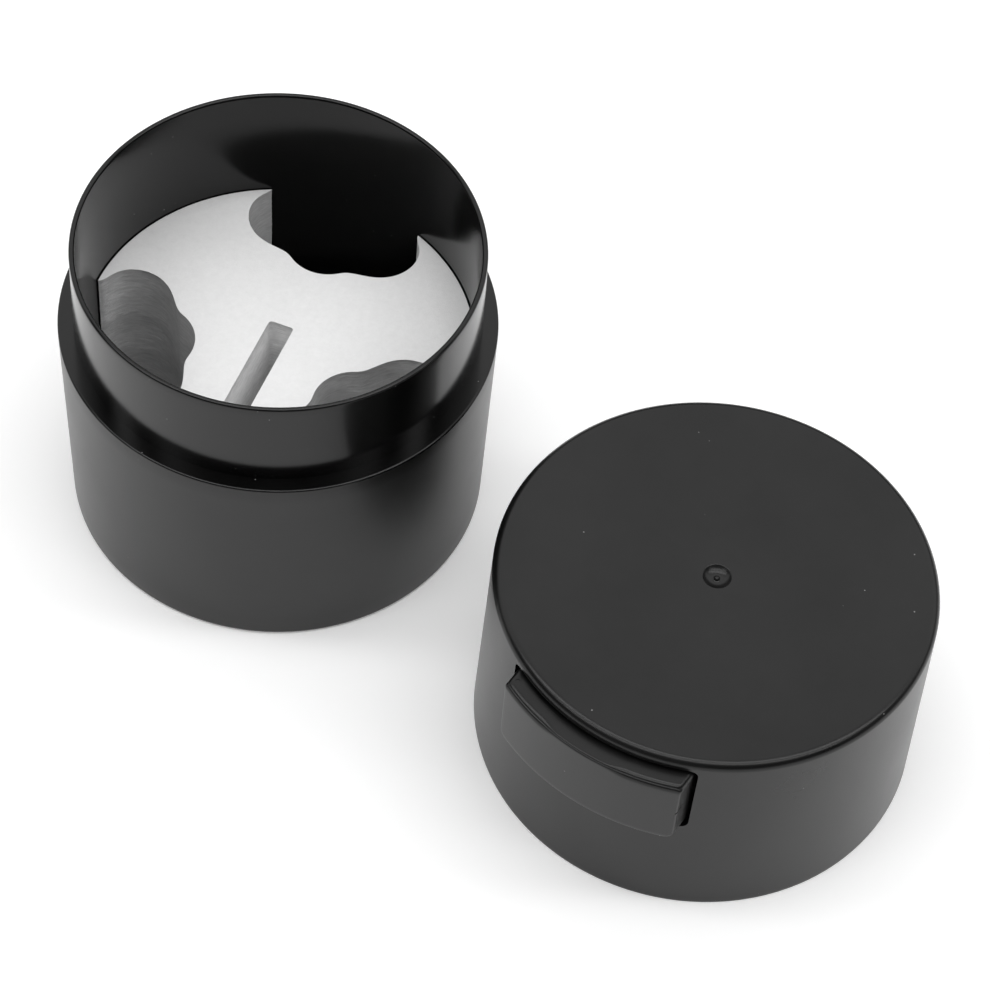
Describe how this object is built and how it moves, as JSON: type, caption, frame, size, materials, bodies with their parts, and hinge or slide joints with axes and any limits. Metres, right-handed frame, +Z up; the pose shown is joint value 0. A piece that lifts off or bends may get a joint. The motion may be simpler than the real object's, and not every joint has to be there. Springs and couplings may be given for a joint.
{
  "type": "airtight storage jar with foam bottle insert",
  "caption": "Round press-on airtight jar with a foam insert cut for small bottles; its cap stands beside it and has a rocking vent button on its side.",
  "frame": {"origin": "centre of the jar's flat underside, on the jar's own axis", "axes": "+Z up along the jar's axis; +X to the right along the pair, jar to cap, with the cap also nearer the viewer; +Y away from the viewer"},
  "size_m": [0.2026, 0.1623, 0.0811],
  "materials": {
    "jar_plastic": "polished black moulding inside and on the neck, finely textured outside",
    "cap_plastic": "satin black moulding",
    "foam": "fine-celled white foam, die cut",
    "seal_rubber": "matt black moulded rubber",
    "spring_wire": "drawn stainless wire"
  },
  "bodies": {
    "jar": {"jar_body": "jar_plastic"},
    "insert": {"foam_insert": "foam"},
    "cap": {"cap_shell": "cap_plastic", "neck_seal": "seal_rubber", "seal_retainer": "cap_plastic", "button_spring": "spring_wire"},
    "vent_button": {"push_button": "cap_plastic", "vent_seal": "seal_rubber"}
  },
  "joints": [
    {"name": "foam_lift", "type": "slide", "parent": "jar", "child": "insert", "axis": [0, 0, 1], "range_m": [0, 0.085]},
    {"name": "cap_lift", "type": "slide", "parent": "jar", "child": "cap", "axis": [0, 0, 1], "range_m": [0, 0.1]},
    {"name": "vent_button_rock", "type": "hinge", "parent": "cap", "child": "vent_button", "pos_m": [0.08209, -0.09348, 0.0408], "axis": [-0.8607, 0.509, 0], "range_deg": [0, 4.5], "stiffness_Nm_per_rad": 0.15, "springref_deg": -5.73, "deforming": ["button_spring"]}
  ]
}
